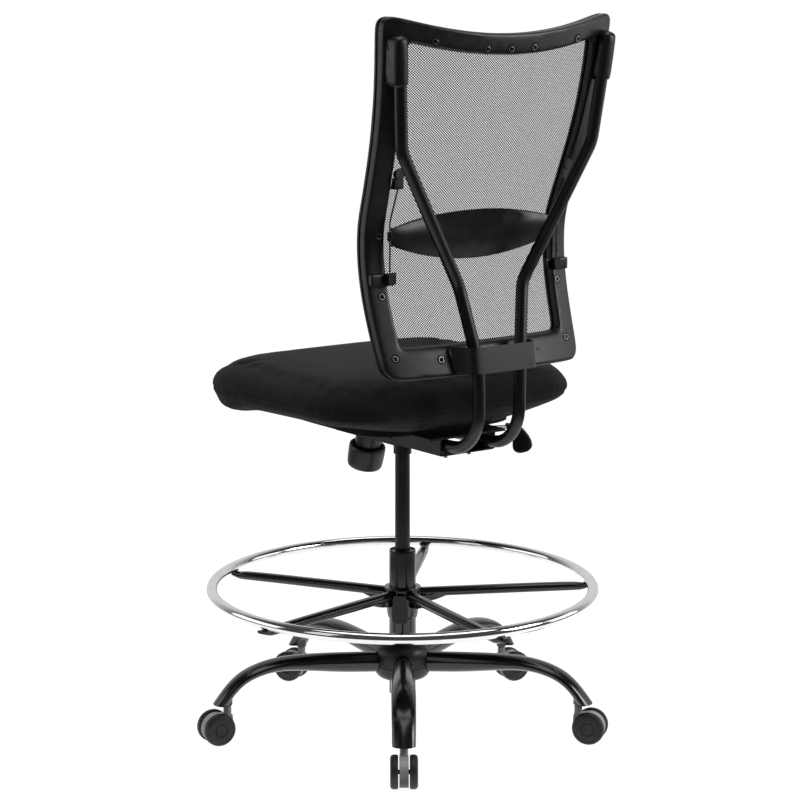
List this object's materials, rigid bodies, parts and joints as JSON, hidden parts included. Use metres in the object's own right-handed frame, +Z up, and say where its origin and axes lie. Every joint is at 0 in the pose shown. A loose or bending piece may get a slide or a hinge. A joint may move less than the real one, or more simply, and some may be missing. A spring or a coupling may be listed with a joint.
{
  "type": "drafting chair",
  "caption": "Swivel drafting chair with a padded seat, open mesh back on bent tubes, chromed foot ring, gas lift and arched star base on twin-wheel casters.",
  "frame": {"origin": "on the floor, on the gas lift's axis", "axes": "+Z up; -Y is the way the sitter faces; +X is the sitter's left"},
  "size_m": [0.7524, 0.7565, 1.3174],
  "materials": {
    "gloss_black_paint": "gloss black powder coat",
    "satin_black_paint": "satin black powder coat",
    "chrome": "polished chrome plate",
    "steel": "zinc plated steel",
    "black_plastic": "fine grained black moulding",
    "grey_plastic": "smooth silver grey moulding",
    "wheel_plastic": "matt dark grey nylon",
    "seat_fabric": "black woven upholstery",
    "mesh_fabric": "fine black open mesh",
    "plywood": "raw plywood"
  },
  "bodies": {
    "base": {"hub_core": "gloss_black_paint", "hub_cover": "black_plastic", "hub_housing": "black_plastic", "column_sleeve": "gloss_black_paint", "column_bush": "black_plastic", "thrust_bearing": "steel", "base_leg_1": "gloss_black_paint", "base_leg_2": "gloss_black_paint", "base_leg_3": "gloss_black_paint", "base_leg_4": "gloss_black_paint", "base_leg_5": "gloss_black_paint"},
    "lift_rod": {"piston_rod": "steel", "rod_clip": "steel"},
    "seat_support": {"gas_cylinder": "satin_black_paint", "tilt_housing": "satin_black_paint", "tension_spring": "steel"},
    "valve": {"valve_button": "steel"},
    "height_lever": {"height_lever_rod": "steel", "height_lever_paddle": "black_plastic"},
    "tension_knob": {"tension_knob": "black_plastic", "tension_bolt": "steel"},
    "seat_frame": {"tilt_pin": "steel", "seat_plate": "satin_black_paint", "seat_pan": "plywood", "seat_cushion": "seat_fabric", "back_tube_left": "satin_black_paint", "back_tube_right": "satin_black_paint", "tube_clamp_plate": "satin_black_paint", "clamp_bolt_left": "steel", "clamp_bolt_right": "steel", "tube_strap": "black_plastic", "tube_cap_left": "black_plastic", "tube_cap_right": "black_plastic", "back_frame_rear": "black_plastic", "back_frame_front": "black_plastic", "back_mesh": "mesh_fabric", "lumbar_clip_left": "black_plastic", "lumbar_clip_right": "black_plastic", "lumbar_wire_left": "satin_black_paint", "lumbar_wire_right": "satin_black_paint"},
    "lumbar": {"lumbar_pad": "black_plastic"},
    "foot_ring": {"foot_ring_hoop": "chrome", "foot_ring_collar": "gloss_black_paint", "ring_lock_pin": "steel", "foot_ring_spoke_1": "gloss_black_paint", "foot_ring_spoke_2": "gloss_black_paint", "foot_ring_spoke_3": "gloss_black_paint", "foot_ring_spoke_4": "gloss_black_paint", "foot_ring_spoke_5": "gloss_black_paint"},
    "ring_lock": {"ring_lock_lever": "satin_black_paint"},
    "caster_1": {"caster_body_1": "grey_plastic"},
    "wheels_1": {"caster_wheels_1": "wheel_plastic"},
    "caster_2": {"caster_body_2": "grey_plastic"},
    "wheels_2": {"caster_wheels_2": "wheel_plastic"},
    "caster_3": {"caster_body_3": "grey_plastic"},
    "wheels_3": {"caster_wheels_3": "wheel_plastic"},
    "caster_4": {"caster_body_4": "grey_plastic"},
    "wheels_4": {"caster_wheels_4": "wheel_plastic"},
    "caster_5": {"caster_body_5": "grey_plastic"},
    "wheels_5": {"caster_wheels_5": "wheel_plastic"}
  },
  "joints": [
    {"name": "lift_swivel", "type": "hinge", "parent": "base", "child": "lift_rod", "pos_m": [0, 0, 0.06], "axis": [0, 0, 1], "continuous": true},
    {"name": "lift_slide", "type": "slide", "parent": "lift_rod", "child": "seat_support", "axis": [0, 0, 1], "range_m": [-0.13, 0.05]},
    {"name": "lever_lift", "type": "hinge", "parent": "seat_support", "child": "height_lever", "pos_m": [-0.034, 0, 0.5595], "axis": [0, 1, 0], "range_deg": [0, 5.4], "stiffness_Nm_per_rad": 3, "springref_deg": -4.58},
    {"name": "valve_press", "type": "slide", "parent": "seat_support", "child": "valve", "axis": [0, 0, -1], "range_m": [0, 0.0036]},
    {"name": "knob_turn", "type": "hinge", "parent": "seat_support", "child": "tension_knob", "pos_m": [0, -0.1155, 0.4947], "axis": [0, 0.2588, 0.9659], "range_deg": [-720, 720]},
    {"name": "seat_tilt", "type": "hinge", "parent": "seat_support", "child": "seat_frame", "pos_m": [0, -0.055, 0.563], "axis": [-1, 0, 0], "range_deg": [0, 12], "stiffness_Nm_per_rad": 250, "springref_deg": -14.32},
    {"name": "lumbar_slide", "type": "slide", "parent": "seat_frame", "child": "lumbar", "axis": [0, 0, 1], "range_m": [-0.03, 0.006]},
    {"name": "foot_ring_slide", "type": "slide", "parent": "base", "child": "foot_ring", "axis": [0, 0, 1], "range_m": [-0.04, 0.05]},
    {"name": "ring_lock_squeeze", "type": "hinge", "parent": "foot_ring", "child": "ring_lock", "pos_m": [0.02375, 0.02502, 0.2472], "axis": [-0.7254, 0.6884, 0], "range_deg": [0, 6], "stiffness_Nm_per_rad": 2, "springref_deg": -5.73},
    {"name": "caster_swivel_1", "type": "hinge", "parent": "base", "child": "caster_1", "pos_m": [0.32098, -0.10429, 0], "axis": [0, 0, 1], "continuous": true},
    {"name": "caster_roll_1", "type": "hinge", "parent": "caster_1", "child": "wheels_1", "pos_m": [0.34326, -0.10742, 0.03], "axis": [0.1392, 0.9903, 0], "continuous": true},
    {"name": "caster_swivel_2", "type": "hinge", "parent": "base", "child": "caster_2", "pos_m": [0.19838, 0.27304, 0], "axis": [0, 0, 1], "continuous": true},
    {"name": "caster_roll_2", "type": "hinge", "parent": "caster_2", "child": "wheels_2", "pos_m": [0.2116, 0.29125, 0.03], "axis": [-0.809, 0.5878, 0], "continuous": true},
    {"name": "caster_swivel_3", "type": "hinge", "parent": "base", "child": "caster_3", "pos_m": [-0.19838, 0.27304, 0], "axis": [0, 0, 1], "continuous": true},
    {"name": "caster_roll_3", "type": "hinge", "parent": "caster_3", "child": "wheels_3", "pos_m": [-0.2116, 0.29125, 0.03], "axis": [-0.809, -0.5878, 0], "continuous": true},
    {"name": "caster_swivel_4", "type": "hinge", "parent": "base", "child": "caster_4", "pos_m": [-0.32098, -0.10429, 0], "axis": [0, 0, 1], "continuous": true},
    {"name": "caster_roll_4", "type": "hinge", "parent": "caster_4", "child": "wheels_4", "pos_m": [-0.34299, -0.09961, 0.03], "axis": [-0.2079, -0.9781, 0], "continuous": true},
    {"name": "caster_swivel_5", "type": "hinge", "parent": "base", "child": "caster_5", "pos_m": [0, -0.3375, 0], "axis": [0, 0, 1], "continuous": true},
    {"name": "caster_roll_5", "type": "hinge", "parent": "caster_5", "child": "wheels_5", "pos_m": [0.01022, -0.35755, 0.03], "axis": [0.891, 0.454, 0], "continuous": true}
  ],
  "couplings": [
    {"joint": "valve_press", "follows": "lever_lift", "m_per_rad": 0.038}
  ]
}
